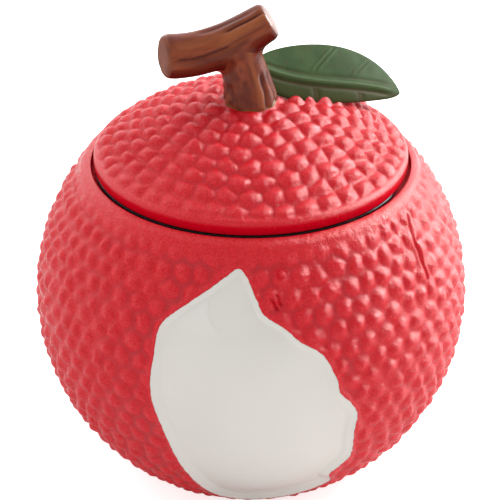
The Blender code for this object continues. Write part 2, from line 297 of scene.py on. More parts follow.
# Leaf's ribs: (place across the rib, height, width) of ridges and grooves
MIDRIB = ((0, 0.00045, 0.00062), (-0.00145, -0.0003, 0.00055), (0.00145, -0.00016, 0.00055))
BACK_RIB = ((-0.00068, 0.00024, 0.00034), (0.00068, 0.00024, 0.00034), (0, -0.00012, 0.00035))
FRONT_RIB = ((0, -0.00034, 0.00085), (0, 0.00018, 0.0003))

# Reds between the bumps, as linear red, green and blue
JAR_LANDS = ((0.55, 0.03, 0.04), (0.62, 0.016, 0.026))
LID_LANDS = ((0.6, 0.02, 0.03), (0.66, 0.013, 0.023))

# Light of the room: (direction, where its level starts and ends to change, both levels)
SKY_BACK = ((-0.1, 1, 0), -0.7, 0.95, 0.64, 2.0)
SKY_TOP = ((0, 0, 1), 0.35, 0.92, 1.0, 0.9)
STAGE_GLOW = 0.72

# Lamps: (name, place, size, power, whether it only shows as a glint)
LAMPS = (
    ("window", (0.62, 0.48, 0.52), (0.28, 0.28), 4.8, False),
    ("window_glint", (0.7, 0.38, 0.5), (0.25, 0.25), 5.5, True),
    ("side_window", (0.88, 0.3, 0.24), (0.5, 0.4), 2.3, False),
    ("side_glint", (0.86, 0.32, 0.36), (0.48, 0.4), 13.5, True),
)

# Camera, in pixels of a 500 by 500 picture and degrees
PICTURE = 500
BALL_PIXELS = 214
BALL_PIXEL = (251, 285)
ELEVATION = math.radians(31.16)
DISTANCE = 9 * BODY_RADIUS


def smooth(values, low, high):
    """Smooth step from 0 at low to 1 at high."""
    share = np.clip((values - low) / (high - low), 0, 1)
    return share * share * (3 - 2 * share)


def window(values, rise, fall):
    """Smooth step up over one range and down again over another."""
    return smooth(values, *rise) * (1 - smooth(values, *fall))


def hump(values, width):
    """A rounded peak of 1 at 0."""
    return np.exp(-(values / width) ** 2)


def between(ends, share):
    """From the first of two values to the second."""
    return ends[0] + (ends[1] - ends[0]) * share


def lengths(vectors):
    return np.linalg.norm(vectors, axis=-1)


def towards(azimuth, polar):
    """Unit rays: azimuth from the front (-Y) toward +X, polar angle down from the top."""
    azimuth, polar = np.broadcast_arrays(azimuth, polar)
    ring = np.sin(polar)
    return np.stack([ring * np.sin(azimuth), -ring * np.cos(azimuth), np.cos(polar)], axis=-1)


def toward_side(azimuth, middle, spread):
    """1 toward one azimuth in degrees, 0 well away from it."""
    off = np.abs((np.degrees(azimuth) - middle + 180) % 360 - 180)
    return 1 - smooth(off, spread * 0.5, spread * 1.5)


def catmull_rom(a, b, c, d, share):
    """The span from b to c of a smooth curve through four knots."""
    bend = 2 * b + (c - a) * share + (2 * a - 5 * b + 4 * c - d) * share ** 2
    return (bend + (3 * b - a - 3 * c + d) * share ** 3) / 2


def bump_centres(polars, pitch, jitter, even_rows=()):
    """Rows of bumps, each row half a step on from the last, all nudged at random."""
    nudge = jitter * pitch / BODY_RADIUS
    chance = random.Random(BUMP_SEED)
    spots = []
    for row, polar in enumerate(polars):
        fitting = round(2 * math.pi * BODY_RADIUS * math.sin(polar) / pitch)
        count = EVEN_COUNT if row in even_rows else fitting
        for k in range(count):
            spot = Vector(towards(2 * math.pi * (k + row % 2 / 2) / count, polar))
            step = Vector([chance.uniform(-nudge, nudge) for _ in range(3)])
            spots.append((spot + step).normalized())
    return spots


def tree_of(spots):
    """A tree that finds the nearest of these spots."""
    tree = KDTree(len(spots))
    for i, spot in enumerate(spots):
        tree.insert(spot, i)
    tree.balance()
    return tree


class Pebbles:
    """The bumps of the skin, each filling the cell round its centre."""

    def __init__(self, centres):
        self.tree = tree_of([centre * BODY_RADIUS for centre in centres])
        rng = np.random.default_rng(BUMP_SEED)
        self.tall = rng.uniform(*BUMP_SIZES, len(centres))

    def share(self, rays, power, land, warp):
        """0 on the line or land between the bumps, up to 1 on their tops."""
        found = np.empty((len(rays), 2))
        which = np.empty(len(rays), int)
        for row, ray in enumerate(rays):
            spot = Vector(ray) * BODY_RADIUS
            spot += warp * noise.noise_vector(spot * WARP_SCALE)
            near = self.tree.find_n(spot, 2)
            found[row] = [distance for _, _, distance in near]
            which[row] = near[0][1]
        way_out = 2 * found[:, 0] / found.sum(axis=1) / (1 - land)
        return self.tall[which] * (1 - np.minimum(way_out, 1) ** power)

    def heights(self, rays, height, **shape):
        share = self.share(rays, **shape)
        return np.minimum(BUMP_TOP - height * (1 - share), BUMP_TOP), share


def line_distance(rays, corners):
    """Distance along the skin from a line of (degrees right, degrees up), positive on its right."""
    corners = np.radians(np.array(corners))
    spots = towards(corners[:, 0], np.pi / 2 - corners[:, 1])
    best = np.full(len(rays), np.inf)
    for start, end in zip(spots, spots[1:]):
        along = end - start
        share = np.clip(((rays - start) @ along) / max(along @ along, 1e-12), 0, 1)
        gap = rays - start - share[:, None] * along
        side = np.sign(gap @ np.cross(start, along))
        distance = lengths(gap) * BODY_RADIUS
        best = np.where(distance < np.abs(best), distance * np.where(side == 0, 1, side), best)
    return best


class Patch:
    """The outline of the peeled patch, as a smooth closed line through its corners."""

    def __init__(self):
        corners = np.radians(np.array(PATCH_CORNERS))
        azimuth, latitude = self.curve(corners).T
        self.line = towards(azimuth, np.pi / 2 - latitude) * BODY_RADIUS
        self.tree = tree_of(self.line)

    @staticmethod
    def curve(corners):
        share = np.linspace(0, 1, PATCH_STEPS, endpoint=False)[:, None]
        rolled = [np.roll(corners, -k, axis=0) for k in (-1, 0, 1, 2)]
        return np.concatenate([catmull_rom(*four, share) for four in zip(*rolled)])

    @staticmethod
    def flat(spots):
        """Spots as seen on a plane in front of the ball."""
        return spots[:, ::2] / -spots[:, 1:2]

    def distance(self, spots):
        """Distance of each spot from the outline."""
        nearest = np.array([self.tree.find(spot)[1] for spot in spots])
        best = np.full(len(spots), np.inf)
        for step in (-1, 0):
            start = self.line[(nearest + step) % len(self.line)]
            along = self.line[(nearest + step + 1) % len(self.line)] - start
            share = ((spots - start) * along).sum(axis=1) / (along ** 2).sum(axis=1)
            gap = spots - start - along * np.clip(share, 0, 1)[:, None]
            best = np.minimum(best, lengths(gap))
        return best

    def depth_inside(self, spots):
        """Distance of each spot inside the outline, negative outside it."""
        corners = self.flat(self.line)
        points = self.flat(spots)
        within = np.zeros(len(spots), bool)
        for (ax, az), (bx, bz) in zip(corners, np.roll(corners, -1, axis=0)):
            crosses = (az > points[:, 1]) != (bz > points[:, 1])
            if crosses.any():
                at = ax + (bx - ax) * (points[:, 1] - az) / (bz - az)
                within ^= crosses & (points[:, 0] < at)
        distance = self.distance(spots)
        return np.where(within, distance, -distance)


def placed(name, data):
    obj = bpy.data.objects.new(name, data)
    scene.collection.objects.link(obj)
    return obj


def mesh_object(name, points, faces):
    mesh = bpy.data.meshes.new(name)
    mesh.from_pydata(np.asarray(points).tolist(), [], faces)
    bm = bmesh.new()
    bm.from_mesh(mesh)
    bmesh.ops.recalc_face_normals(bm, faces=bm.faces)
    bm.to_mesh(mesh)
    bm.free()
    mesh.shade_smooth()
    return placed(name, mesh)


def store(obj, **named):
    """Keeps a number per vertex under each name, for the material to read."""
    for name, values in named.items():
        layer = obj.data.attributes.new(name, "FLOAT", "POINT")
        layer.data.foreach_set("value", np.asarray(values, np.float32))


def ring_faces(rows, columns, first=0):
    """Quads between the neighbouring rings of a stack, each ring closed on itself."""
    row = first + np.arange(rows - 1)[:, None] * columns
    below = row + columns
    here = np.arange(columns)[None, :]
    after = (here + 1) % columns
    quads = np.stack([row + here, below + here, below + after, row + after], axis=-1)
    return quads.reshape(-1, 4).tolist()


def fan_faces(centre, first, columns):
    """Triangles between a ring and its centre."""
    return [[centre, first + k, first + (k + 1) % columns] for k in range(columns)]


def rounded(profile, radius, steps=4, most=0.45):
    """The profile of (radius, height) points with each inner corner turned into a small arc."""
    result = [profile[0]]
    for before, corner, after in zip(profile, profile[1:], profile[2:]):
        corner = Vector(corner)
        into = Vector(before) - corner
        out = Vector(after) - corner
        reach = min(radius, into.length * most, out.length * most)
        start = corner + into.normalized() * reach
        end = corner + out.normalized() * reach
        for i in range(steps + 1):
            share = i / steps
            result.append(tuple(start.lerp(corner, share).lerp(corner.lerp(end, share), share)))
    result.append(profile[-1])
    return result


def arc(radius, start, end, steps=24):
    """Points on a ball round the centre, between two polar angles."""
    return [
        (radius * math.sin(a), CENTRE + radius * math.cos(a))
        for a in np.linspace(start, end, steps + 1)
    ]


def turn(profile, azimuth):
    """Rings of points from a profile of (radius, height)."""
    ring = np.stack([np.sin(azimuth), -np.cos(azimuth)], axis=1)
    level = np.ones((len(ring), 1))
    return np.concatenate([np.hstack([ring * r, level * z]) for r, z in profile])


noise.seed_set(BUMP_SEED)
body_rows = math.pi * (np.arange(BUMP_ROWS) + 0.5) / BUMP_ROWS
body_pebbles = Pebbles(bump_centres(body_rows, BUMP_PITCH, BUMP_JITTER, EVEN_ROWS))
lid_rows = LID_ROW_STEP * (np.arange(LID_ROWS) + LID_ROW_START)
lid_pebbles = Pebbles(bump_centres(lid_rows, LID_PITCH, LID_JITTER))
patch = Patch()


def body_columns(front=math.radians(62), near_count=340, far_count=300):
    """Azimuths round the jar, closer together over the patch."""
    near = np.linspace(-front, front, near_count, endpoint=False)
    far = np.linspace(front, 2 * math.pi - front, far_count, endpoint=False)
    return np.concatenate([near, far])


def skin_flaws(rays):
    """Heights of the seam, its pit, the slits and the pimple, and how much painted shade darkens
    them.
    """
    height, crease_shade = np.zeros((2, len(rays)))
    for line, rise, shade_share, aside, width in FLAWS:
        mark = hump(line_distance(rays, line) - aside, width)
        height += rise * mark
        crease_shade = np.maximum(crease_shade, shade_share * mark)
    return height, crease_shade


def lumps(rays, off_lip):
    """Heights of the uneven glaze below the lip and round the rough spot."""
    height = np.zeros(len(rays))
    near_lip = 1 - smooth(off_lip, *LIP_LUMPS_REACH)
    rough = 1 - smooth(line_distance(rays, ROUGH_SPOT), *ROUGH_REACH)
    for row in np.flatnonzero(near_lip + rough > 0.01):
        spot = Vector(rays[row])
        for share, waves in ((near_lip[row], LIP_LUMPS), (rough[row], ROUGH_LUMPS)):
            height[row] += share * sum(rise * noise.noise(spot * scale) for rise, scale in waves)
    return height


def flake_share(rays):
    """1 on the flake at the left of the fold, fading away from it."""
    left = -line_distance(rays, FOLD)
    latitude = np.degrees(np.arcsin(rays[:, 2]))
    return window(left, *FLAKE_WIDTH) * window(latitude, *FLAKE_HEIGHT)


def jar_bump_share(rays, inside, off_lip, off_foot, right):
    """How much of the bumps shows: they fade at the lip, foot, patch and seam."""
    share = smooth(off_lip, between(LIP_FADE_START, right), between(LIP_FADE_END, right))
    share *= smooth(off_foot, 0.0, FOOT_FADE)
    below = smooth(-rays[:, 2], 0.55, 0.75)
    share *= smooth(-inside, PATCH_FADE[0], PATCH_FADE[1] + PATCH_FADE_BELOW * below)
    off_seam = np.abs(line_distance(rays, SEAM))
    return share * (SEAM_BUMPS + (1 - SEAM_BUMPS) * smooth(off_seam, 0.0005, 0.0022))


def peeled(height, rays, inside, flake):
    """Heights with the rind taken off inside the patch, behind a rounded bevel."""
    low = smooth(-rays[:, 2], -0.35, 0.15)
    drop = np.clip(inside / between(BEVEL_WIDTH, low), 0, 1)
    drop = drop + BEVEL_ROUND * np.sin(2 * np.pi * drop) / np.pi
    flesh = FLAKE_RISE * flake - between(RIND_DEPTH, low)
    return height * (1 - drop) + flesh * drop


def land_hiding(rays):
    """The least share of a bump that the glaze reads, to hide the land between bumps at both sides
    and in patches.
    """
    cloud = np.array([noise.noise(Vector(spot) * 5) for spot in rays])
    right = rays[:, 0]
    sides = np.maximum(smooth(right, 0.3, 0.6), smooth(-right, 0.45, 0.8))
    return LAND_HIDING * np.maximum(smooth(cloud, -0.15, 0.25), sides)


def jar_skin(azimuth, rows=200):
    """Points of the jar's outside, row by row from the lip down, and what its glaze reads there."""
    lip_polar = math.asin(LIP_RADIUS / BODY_RADIUS)
    foot_polar = math.pi - math.asin((FOOT_RADIUS + 2 * ROUND) / BODY_RADIUS)
    around, down = np.meshgrid(azimuth, np.linspace(lip_polar, foot_polar, rows))
    rays = towards(around, down).reshape(-1, 3)
    off_lip = BODY_RADIUS * (down - lip_polar).ravel()
    off_foot = BODY_RADIUS * (foot_polar - down).ravel()
    inside = np.full(len(rays), ALL_RED * MM)
    facing = rays[:, 1] < PATCH_FACING
    inside[facing] = patch.depth_inside(rays[facing] * BODY_RADIUS)

    right = toward_side(around.ravel(), *LIP_RIGHT)
    share = jar_bump_share(rays, inside, off_lip, off_foot, right)
    height, bump = body_pebbles.heights(rays, **BODY_BUMP)
    flaws, crease_shade = skin_flaws(rays)
    height = height * share + flaws + lumps(rays, off_lip)
    swell = LIP_SWELL * (1 - LIP_SWELL_LOSS * right)
    height += swell * hump(off_lip - LIP_SWELL_AT, LIP_SWELL_WIDTH)
    flake = flake_share(rays) * smooth(inside, 0.001, 0.0022)
    height = peeled(height, rays, inside, flake)
    skin = rays * (BODY_RADIUS + height)[:, None] + [0, 0, CENTRE]
    skin[:, 1] = np.maximum(skin[:, 1], cad_box[0][1])

    bump = np.maximum(bump * share + PLAIN_BUMP * (1 - share), land_hiding(rays))
    return skin, {"white_depth": inside / MM, "bump": bump, "flake": flake, "band": crease_shade,
                  "bare": np.zeros(len(skin))}


def jar_cavity(lip_height):
    """Profile of the jar's inside, from the middle of its floor up and over the lip."""
    floor_polar = math.pi - math.acos((CENTRE - FLOOR) / INNER_RADIUS)
    collar_polar = math.asin(COLLAR_RADIUS / INNER_RADIUS)
    profile = [(HUB, FLOOR), *arc(INNER_RADIUS, floor_polar, collar_polar)]
    profile += [(BORE_RADIUS, LEDGE - COLLAR_HEIGHT), (BORE_RADIUS, LEDGE), (MOUTH_RADIUS, LEDGE)]
    profile += [(MOUTH_RADIUS, LIP_TOP), (LIP_FLAT_RADIUS, LIP_TOP), (LIP_RADIUS, lip_height)]
    return rounded(profile, WIDE_ROUND)[:-1]


def jar_foot():
    """Profile of the foot ring and the recess inside it, from the outside in."""
    inside = FOOT_RADIUS - FOOT_RING_WIDTH
    return [
        (FOOT_RADIUS + WIDE_ROUND, WIDE_ROUND), (FOOT_RADIUS - ROUND, 0),
        (inside + ROUND, 0), (inside - ROUND, ROUND),
        (inside - FOOT_RECESS, FOOT_RECESS), (HUB, FOOT_RECESS),
    ]


def jar():
    azimuth = body_columns()
    columns = len(azimuth)
    skin, on_skin = jar_skin(azimuth)
    cavity = jar_cavity(skin[0, 2])
    foot = jar_foot()
    points = np.concatenate([turn(cavity, azimuth), skin, turn(foot, azimuth)])
    hub = len(points)
    faces = ring_faces(hub // columns, columns)
    faces += fan_faces(hub, 0, columns) + fan_faces(hub + 1, hub - columns, columns)
    points = np.concatenate([points, [[0, 0, FLOOR], [0, 0, FOOT_RECESS]]])
    obj = mesh_object("jar_shell", points, faces)

    def keep(name, on_cavity=0, on_foot=0, on_hubs=(0, 0)):
        """Stores one value for each ring of the cavity and foot, and the skin's own values."""
        above = np.repeat(np.zeros(len(cavity)) + on_cavity, columns)
        below = np.repeat(np.zeros(len(foot)) + on_foot, columns)
        store(obj, **{name: np.concatenate([above, on_skin[name], below, on_hubs])})

    radius, height = np.array(cavity).T
    white = (radius < BORE_RADIUS + 0.1 * MM) | (height < LEDGE - MM)
    mouth = (height > LEDGE - 0.3 * MM) & (radius > BORE_RADIUS + 0.5 * MM)
    keep("white_depth", np.where(white, ALL_WHITE, -ALL_WHITE), ALL_RED, [ALL_WHITE, ALL_RED])
    keep("bare", 0, np.arange(len(foot)) > 0, [0, 1])
    keep("bump", PLAIN_BUMP, PLAIN_BUMP, [PLAIN_BUMP, PLAIN_BUMP])
    keep("flake")
    # Painted shade: the mouth's wall in the gap under the lid is painted deep red
    keep("band", mouth & (radius < MOUTH_RADIUS + 0.1 * MM))
    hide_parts("jar_body")
    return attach(obj, "jar")


def disc_grid(steps=168):
    """A square grid drawn onto the unit disc: (azimuth, radius) of each point, and its faces."""
    line = np.linspace(-1, 1, steps + 1)
    a, b = np.meshgrid(line, line)
    wide = np.abs(a) >= np.abs(b)
    with np.errstate(divide="ignore", invalid="ignore"):
        across = np.where(a == 0, 0, b / a)
        up = np.where(b == 0, 0, a / b)
    radius = np.where(wide, a, b)
    angle = np.where(wide, np.pi / 4 * across, np.pi / 2 - np.pi / 4 * up)
    angle = np.where(radius < 0, angle + np.pi, angle)
    index = np.arange((steps + 1) ** 2).reshape(steps + 1, steps + 1)
    quads = np.stack([index[:-1, :-1], index[:-1, 1:], index[1:, 1:], index[1:, :-1]], axis=-1)
    edge = np.concatenate([index[0, :-1], index[:-1, -1], index[-1, :0:-1], index[:0:-1, 0]])
    return angle.ravel(), np.abs(radius).ravel(), quads.reshape(-1, 4).tolist(), edge


def lid_dome():
    """The lid's pebbled top: points, faces, edge, the edge's azimuths, what its glaze reads."""
    azimuth, share_out, faces, edge = disc_grid()
    edge_polar = math.asin((LID_RADIUS - EDGE_ROUND) / (BODY_RADIUS + EDGE_RISE))
    rays = towards(azimuth, share_out * edge_polar)
    off_edge = BODY_RADIUS * edge_polar * (1 - share_out)
    seat = np.array(SEAT) - [0, 0, CENTRE]
    off_leg = lengths(rays * BODY_RADIUS - seat)
    worn = WORN * toward_side(azimuth, *WORN_SIDE) * (1 - smooth(off_edge, *WORN_REACH))
    share = smooth(off_edge, 0.0, LID_EDGE_FADE) * smooth(off_leg, *LEG_FADE) * (1 - worn)
    height, bump = lid_pebbles.heights(rays, **LID_BUMP)
    gain = 1 + LID_BUMP_GAIN * smooth(rays[:, 1], -0.6, -0.15)
    height = BUMP_TOP - (BUMP_TOP - height) * gain
    height = height * share + EDGE_RISE * (1 - smooth(off_edge, 0.0, EDGE_RISE_REACH))
    dome = rays * (BODY_RADIUS + height)[:, None] + [0, 0, CENTRE]
    return dome, faces, edge, azimuth[edge], bump * share + PLAIN_BUMP * (1 - share)


def lid_under(edge_top, hollow_top=0.02, hollow_steps=16):
    """Profile of the lid below its dome: rolled edge, upright band, neck and hollow."""
    corner = (LID_RADIUS - EDGE_TUCK, LID_BOTTOM)
    before = (LID_RADIUS - 2 * EDGE_ROUND, edge_top + EDGE_DROP)
    roll = rounded([before, (LID_RADIUS, edge_top - EDGE_DROP), corner], EDGE_ROUND)[1:-1]
    neck_inside = NECK_RADIUS - NECK_WALL
    neck = [(NECK_RADIUS, LID_BOTTOM), (NECK_RADIUS, NECK_END), (neck_inside, NECK_END)]
    hollow_polar = math.asin(neck_inside / INNER_RADIUS)
    hollow = arc(INNER_RADIUS, hollow_polar, hollow_top, hollow_steps)
    return roll + rounded([roll[-1], corner, *neck, *hollow], ROUND)[1:]


def lid():
    dome, faces, edge, azimuth, bump = lid_dome()
    edge_top = dome[edge[0], 2]
    under = lid_under(edge_top)
    columns = len(edge)
    first = len(dome)
    hub = first + len(under) * columns
    rim = first + np.arange(columns)
    faces += ring_faces(len(under), columns, first)
    faces += np.stack([edge, rim, np.roll(rim, -1), np.roll(edge, -1)], axis=1).tolist()
    faces += fan_faces(hub, hub - columns, columns)
    points = np.concatenate([dome, turn(under, azimuth), [[0, 0, CENTRE + INNER_RADIUS]]])
    obj = mesh_object("lid_shell", points, faces)

    radius, height = np.array(under).T
    white = np.where(radius < NECK_RADIUS + 0.1 * MM, ALL_WHITE, -ALL_WHITE)
    # Painted shade and a painted red reflection on the upright band under the rolled edge
    band = smooth(edge_top - EDGE_DROP - height, 0.0002, 0.0006) * (radius > NECK_RADIUS + MM)
    white = np.concatenate([np.full(first, ALL_RED), np.repeat(white, columns), [ALL_WHITE]])
    band = np.concatenate([np.zeros(first), np.repeat(band, columns), [0]])
    bump = np.concatenate([bump, np.full(len(points) - first, PLAIN_BUMP)])
    store(obj, white_depth=white, bare=np.zeros(len(points)), bump=bump, band=band)
    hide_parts("lid")
    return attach(obj, "lid")


def seal(columns=240):
    low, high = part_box("seal_ring")
    inside = NECK_RADIUS + SEAL_GAP
    skirt = inside + SEAL_SKIRT
    flange = LID_RADIUS - SEAL_EDGE
    under = LEDGE + SEAL_GAP
    profile = [(inside, high.z), (flange, high.z), (flange, under), (skirt, under)]
    for share in FIN_PLACES:
        top = LEDGE - (LEDGE - low.z) * share
        fin = (skirt + FIN_REACH, top - FIN_REACH)
        profile += [(skirt, top), fin, (skirt, top - 2 * FIN_REACH)]
    profile += [(skirt, low.z), (inside, low.z), (inside, high.z)]
    profile = rounded(profile, ROUND)
    azimuth = np.linspace(0, 2 * math.pi, columns, endpoint=False)
    points = turn(profile[:-1], azimuth)
    reach = np.hypot(points[:, 0], points[:, 1])
    tuck = SEAL_TUCK * np.tile(toward_side(azimuth, *SEAL_TUCK_SIDE), len(profile) - 1)
    points[:, :2] *= (1 - tuck * np.clip((reach - skirt) / (flange - skirt), 0, 1) / reach)[:, None]
    faces = ring_faces(len(profile), columns)
    faces = [[i % len(points) for i in face] for face in faces]
    obj = mesh_object("seal_gasket", points, faces)
    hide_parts("seal_ring")
    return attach(obj, "seal")


def spline(knots, steps=7, spare=0.003):
    """A dense line of (place, radius) through a limb's knots, run on a little past both ends."""
    rows = np.array([[*spot, radius] for spot, radius in knots])
    ends = []
    for end, inner in ((rows[0], rows[1]), (rows[-1], rows[-2])):
        beyond = end + (end - inner) * spare / np.linalg.norm((end - inner)[:3])
        ends.append(np.append(beyond[:3], end[3]))
    before, after = ends
    rows = np.vstack([2 * before - rows[0], before, rows, after, 2 * after - rows[-1]])
    share = np.linspace(0, 1, steps, endpoint=False)[:, None]
    spans = [catmull_rom(*four, share) for four in zip(rows, rows[1:], rows[2:], rows[3:])]
    line = np.concatenate([*spans, after[None]])
    line[:, :3] += SEAT
    return line


class Limb:
    """A limb of the twig: how far any place is outside its bark, and where on the bark it is."""

    def __init__(self, knots, grooves, ridges, side):
        self.line = spline(knots)
        self.grooves = grooves
        self.ridges = ridges
        self.side = np.array(side, float)
        self.first = np.array(knots[0][0]) + SEAT
        self.last = np.array(knots[-1][0]) + SEAT
        steps = lengths(np.diff(self.line[:, :3], axis=0))
        run = np.concatenate([[0], np.cumsum(steps)])
        start, end = run[self.nearest(self.first)], run[self.nearest(self.last)]
        self.run = (run - start) / (end - start)

    def nearest(self, spot):
        return np.argmin(lengths(self.line[:, :3] - spot))

    def locate(self, points):
        """Share along the limb, angle round it in degrees, distance from its axis, its radius."""
        start, end = self.line[:-1], self.line[1:]
        along = end[:, :3] - start[:, :3]
        length = (along ** 2).sum(axis=1)
        share = np.clip(((points[:, None] - start[:, :3]) * along).sum(axis=2) / length, 0, 1)
        foot = start[:, :3] + share[..., None] * along
        gap = lengths(points[:, None] - foot)
        best = gap.argmin(axis=1)
        row = np.arange(len(points))
        share = share[row, best]
        off = points - foot[row, best]
        axis = along[best] / np.sqrt(length[best])[:, None]
        across = np.array([0, -1, 0]) + axis * axis[:, 1:2]
        side = self.side - axis * (axis @ self.side)[:, None]
        angle = np.degrees(np.arctan2(
            (off * side).sum(axis=1) / lengths(side),
            (off * across).sum(axis=1) / lengths(across)))
        run = self.run[best] + share * (self.run[best + 1] - self.run[best])
        radius = start[best, 3] + share * (end[best, 3] - start[best, 3])
        return run, angle, gap[row, best], radius

    def carved(self, run, angle, radius):
        """Depth of the grooves in the bark."""
        depth = np.zeros(len(run))
        for start, start_angle, end, end_angle, deep, wide in self.grooves:
            share = np.clip((run - start) / (end - start), 0, 1)
            wander = GROOVE_WANDER * np.sin(GROOVE_WAVES * run + start_angle)
            middle = start_angle + (end_angle - start_angle) * share + wander
            off = np.radians((angle - middle + 180) % 360 - 180) * radius
            fade = window(run, np.add(start, GROOVE_START), np.add(end, GROOVE_END))
            depth = np.maximum(depth, deep * fade * hump(off, wide))
        return depth

    def lighter(self, run, angle):
        """1 along the ridges that are lighter than the rest of the bark, partly in tone and partly
        as a painted highlight.
        """
        share = np.zeros(len(run))
        for strength, start, full, middle, width in self.ridges:
            ridge = strength * smooth(run, start, full) * hump(angle - middle, width)
            share = np.maximum(share, ridge)
        return share

    def outside(self, points):
        run, angle, gap, radius = self.locate(points)
        return gap - radius + self.carved(run, angle, radius)


def soft_least(a, b, blend):
    """The smaller of two distances, rounded where they meet."""
    share = np.clip(0.5 + 0.5 * (b - a) / blend, 0, 1)
    return b + (a - b) * share - blend * share * (1 - share)


def soft_most(a, b, blend):
    return -soft_least(-a, -b, blend)


arm = Limb(ARM_KNOTS, ARM_GROOVES, ARM_RIDGES, (0, 0, 1))
leg = Limb(LEG_KNOTS, LEG_GROOVES, LEG_RIDGES, (1, 0, 0))


def past_left_cut(points):
    return (points - arm.first) @ ARM_LEFT_FACE


def past_right_cut(points):
    return (points - arm.last) @ ARM_RIGHT_FACE


def outside_twig(points):
    """Distance outside the twig: the arm with its two cut ends, run together with the leg."""
    cut = soft_most(arm.outside(points), past_left_cut(points), CUT_ROUND)
    cut = soft_most(cut, past_right_cut(points), CUT_ROUND)
    joined = soft_least(cut, leg.outside(points), LIMB_BLEND)
    return np.maximum(joined, SEAT.z + SEAT_SINK - points[:, 2])


def rough_tube(limb, first, sides=12, spare=1.05):
    """Points and faces of a plain tube round a limb, for the remesh to start from."""
    around = np.linspace(0, 2 * math.pi, sides, endpoint=False)
    c, s, flat = np.cos(around), np.sin(around), np.zeros(sides)
    spokes = np.stack([c, s, flat] if limb is leg else [flat, c, s], axis=1)
    points = (limb.line[:, None, :3] + limb.line[:, None, 3:] * spare * spokes).reshape(-1, 3)
    last = first + len(points)
    ends = [list(range(first, first + sides)), list(range(last - sides, last))]
    return points, ring_faces(len(limb.line), sides, first) + ends


def remeshed(rough, voxel):
    """Points and faces of an object's voxel remesh, which takes its place."""
    step = rough.modifiers.new("remesh", "REMESH")
    step.mode = "VOXEL"
    step.voxel_size = voxel
    graph = bpy.context.evaluated_depsgraph_get()
    done = bpy.data.meshes.new_from_object(rough.evaluated_get(graph))
    bpy.data.objects.remove(rough)
    points = np.empty(len(done.vertices) * 3)
    done.vertices.foreach_get("co", points)
    faces = [list(face.vertices) for face in done.polygons]
    bpy.data.meshes.remove(done)
    return points.reshape(-1, 3), faces


def pulled_onto(outside, points, rounds=7, probe=0.00005, flattest=0.2, most=0.0012):
    """Moves points along the steepest way until they lie on the surface where the distance is 0."""
    for _ in range(rounds):
        here = outside(points)
        slopes = [(outside(points + probe * axis) - here) / probe for axis in np.eye(3)]
        slope = np.stack(slopes, axis=1)
        steep = np.maximum((slope ** 2).sum(axis=1), flattest)
        points = points - slope * np.clip(here / steep, -most, most)[:, None]
    return points


def mark_bark(obj, points):
    """Stores the grooves, the lighter ridges with their painted highlight, the underside's painted
    shade and red reflection, and the run of the grain.
    """
    groove, under, ridge = np.zeros((3, len(points)))
    grain = np.zeros((len(points), 3))
    on_arm = arm.outside(points) < leg.outside(points)
    for limb, here in ((arm, on_arm), (leg, ~on_arm)):
        run, angle, _, radius = limb.locate(points[here])
        groove[here] = limb.carved(run, angle, radius) / GROOVE_FULL
        ridge[here] = limb.lighter(run, angle)
        if limb is arm:
            # The arm's underside: painted shade and a painted red reflection of the lid
            under[here] = smooth(-angle, 14, 48) * smooth(angle, -150, -120)
        around = np.radians(angle)
        grain[here] = np.stack([run * GRAIN_LENGTH, np.cos(around), np.sin(around)], axis=1)
    layer = obj.data.attributes.new("grain", "FLOAT_VECTOR", "POINT")
    layer.data.foreach_set("vector", grain.ravel().astype(np.float32))
    store(obj, groove=groove, under=under, ridge=ridge)


def mark_ends(obj, points):
    """Stores the two cut ends (the right one for its painted reflection), the spot of slip at the
    foot, and the height above the lid.
    """
    off_slip = lengths(points - SEAT - Vector(SLIP_SPOT))
    ball = lengths(points - [0, 0, CENTRE])
    store(
        obj,
        cut_end=1 - smooth(np.abs(past_left_cut(points)), 0.0002, 0.0009),
        bare_end=1 - smooth(np.abs(past_right_cut(points)), 0.0002, 0.0007),
        slip=1 - smooth(off_slip, 0.0007, 0.0013),
        above_lid=(ball - BODY_RADIUS) / MM,
    )


def twig():
    on_arm, arm_faces = rough_tube(arm, 0)
    on_leg, leg_faces = rough_tube(leg, len(on_arm))
    rough = mesh_object("rough_twig", np.concatenate([on_arm, on_leg]), arm_faces + leg_faces)
    points, faces = remeshed(rough, TWIG_VOXEL)
    points = pulled_onto(outside_twig, points)
    obj = mesh_object("twig", points, faces)
    mark_bark(obj, points)
    mark_ends(obj, points)
    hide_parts("branch_handle")
    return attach(obj, "lid")


def leaf_width(along, most, base, tip):
    """Width of one half of the leaf, 0 at both ends."""
    widest = base / (base + tip)
    return most * ((along / widest) ** base * ((1 - along) / (1 - widest)) ** tip)


def leaf_places(along, across):
    """Places on the leaf's upper side before its veins, and how far each is from the midrib."""
    x = LEAF_START[0] + LEAF_LENGTH * along
    arch = along * (1 - along)
    y = LEAF_START[1] + LEAF_SWING * along + LEAF_BOW * arch
    z = CENTRE + BODY_RADIUS + LEAF_BASE_GAP + LEAF_BASE_RISE - LEAF_FALL * along
    z = z + LEAF_WAVE * arch * (along - LEAF_WAVE_MIDDLE)
    back = leaf_width(along, *LEAF_BACK_HALF)
    front = leaf_width(along, *LEAF_FRONT_HALF)
    crease = smooth(across, -LEAF_CREASE, LEAF_CREASE)
    tilt = between((LEAF_FRONT_TILT, LEAF_BACK_TILT), crease)
    off = across * (np.where(across > 0, back, front) + LEAF_STALK * (1 - along) ** 3)
    return np.stack([x, y + off * np.cos(tilt), z + off * np.sin(tilt)], axis=-1), off


def rib(off, rows):
    """Height across a rib that is made of ridges and grooves."""
    return sum(height * hump(off - place, width) for place, height, width in rows)


